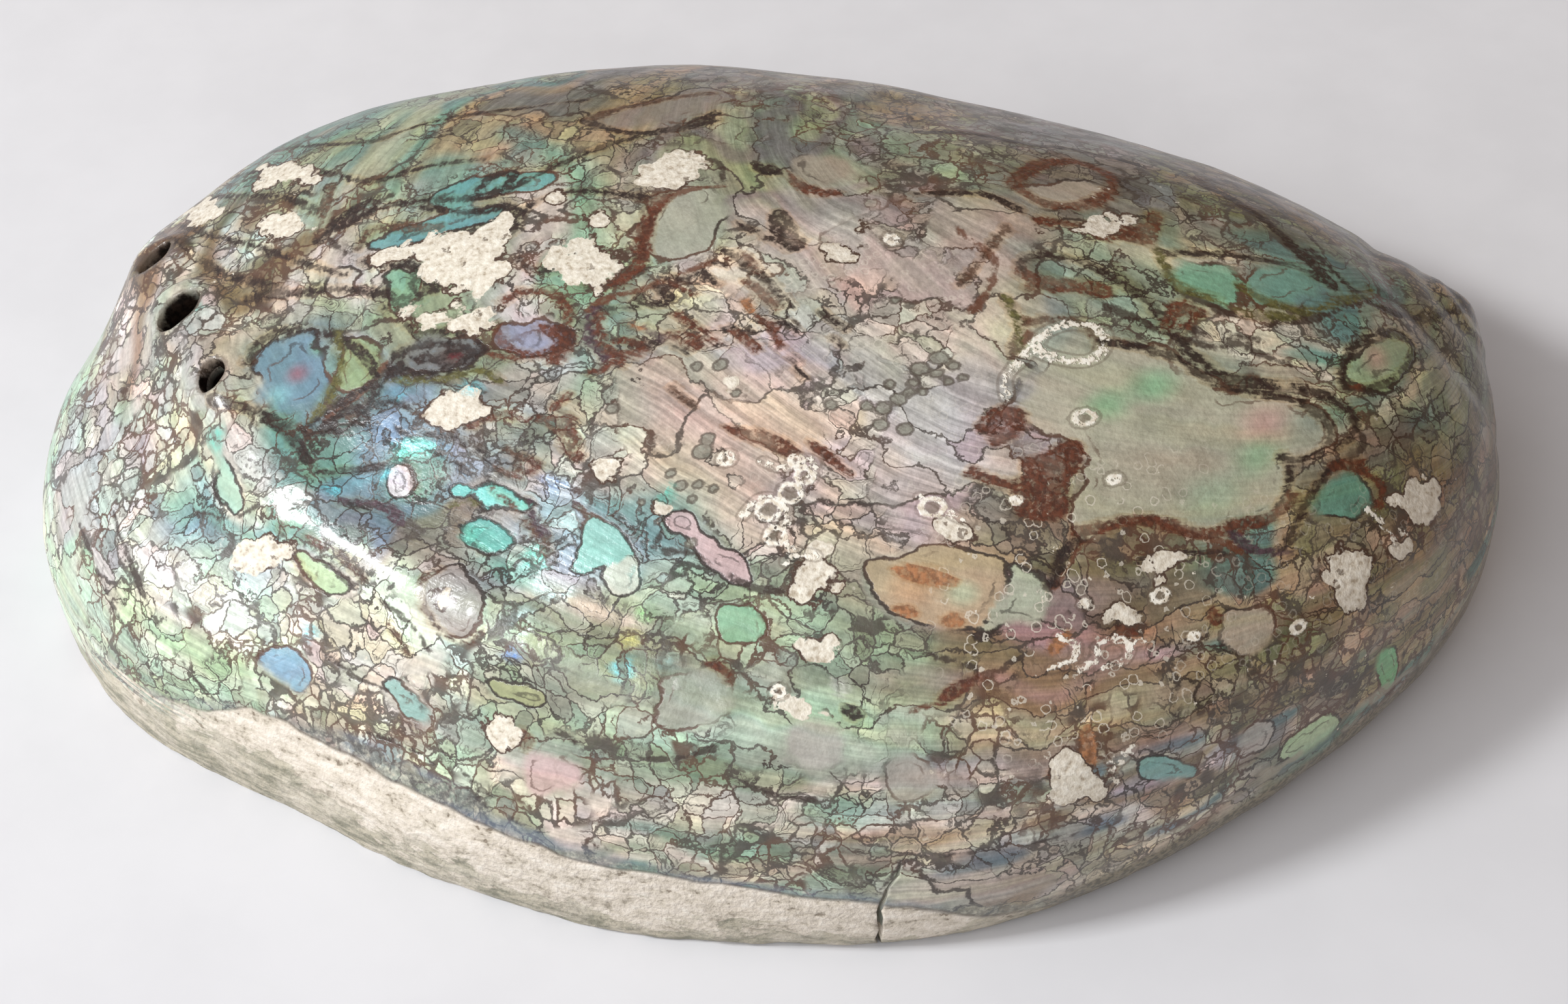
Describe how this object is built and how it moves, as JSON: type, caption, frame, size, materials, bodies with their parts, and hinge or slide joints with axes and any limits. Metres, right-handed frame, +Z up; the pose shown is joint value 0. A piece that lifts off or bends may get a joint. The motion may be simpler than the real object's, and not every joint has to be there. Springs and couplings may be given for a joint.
{
  "type": "abalone shell",
  "caption": "Hollow oval ear shell, dome up on its open side, with a low spire at one end, a row of breathing holes along a soft ridge and a thick inner-lip foot.",
  "frame": {"origin": "centre of the bounding box in plan, on the plane the rim rests on", "axes": "+X towards the posterior end with the spire, -Y towards the thick columellar foot and the row of holes, +Z up through the dome"},
  "size_m": [0.1494, 0.1072, 0.0375],
  "materials": {
    "nacre": "polished iridescent mother of pearl with clear gloss"
  },
  "bodies": {
    "root": {"shell": "nacre"}
  },
  "joints": []
}
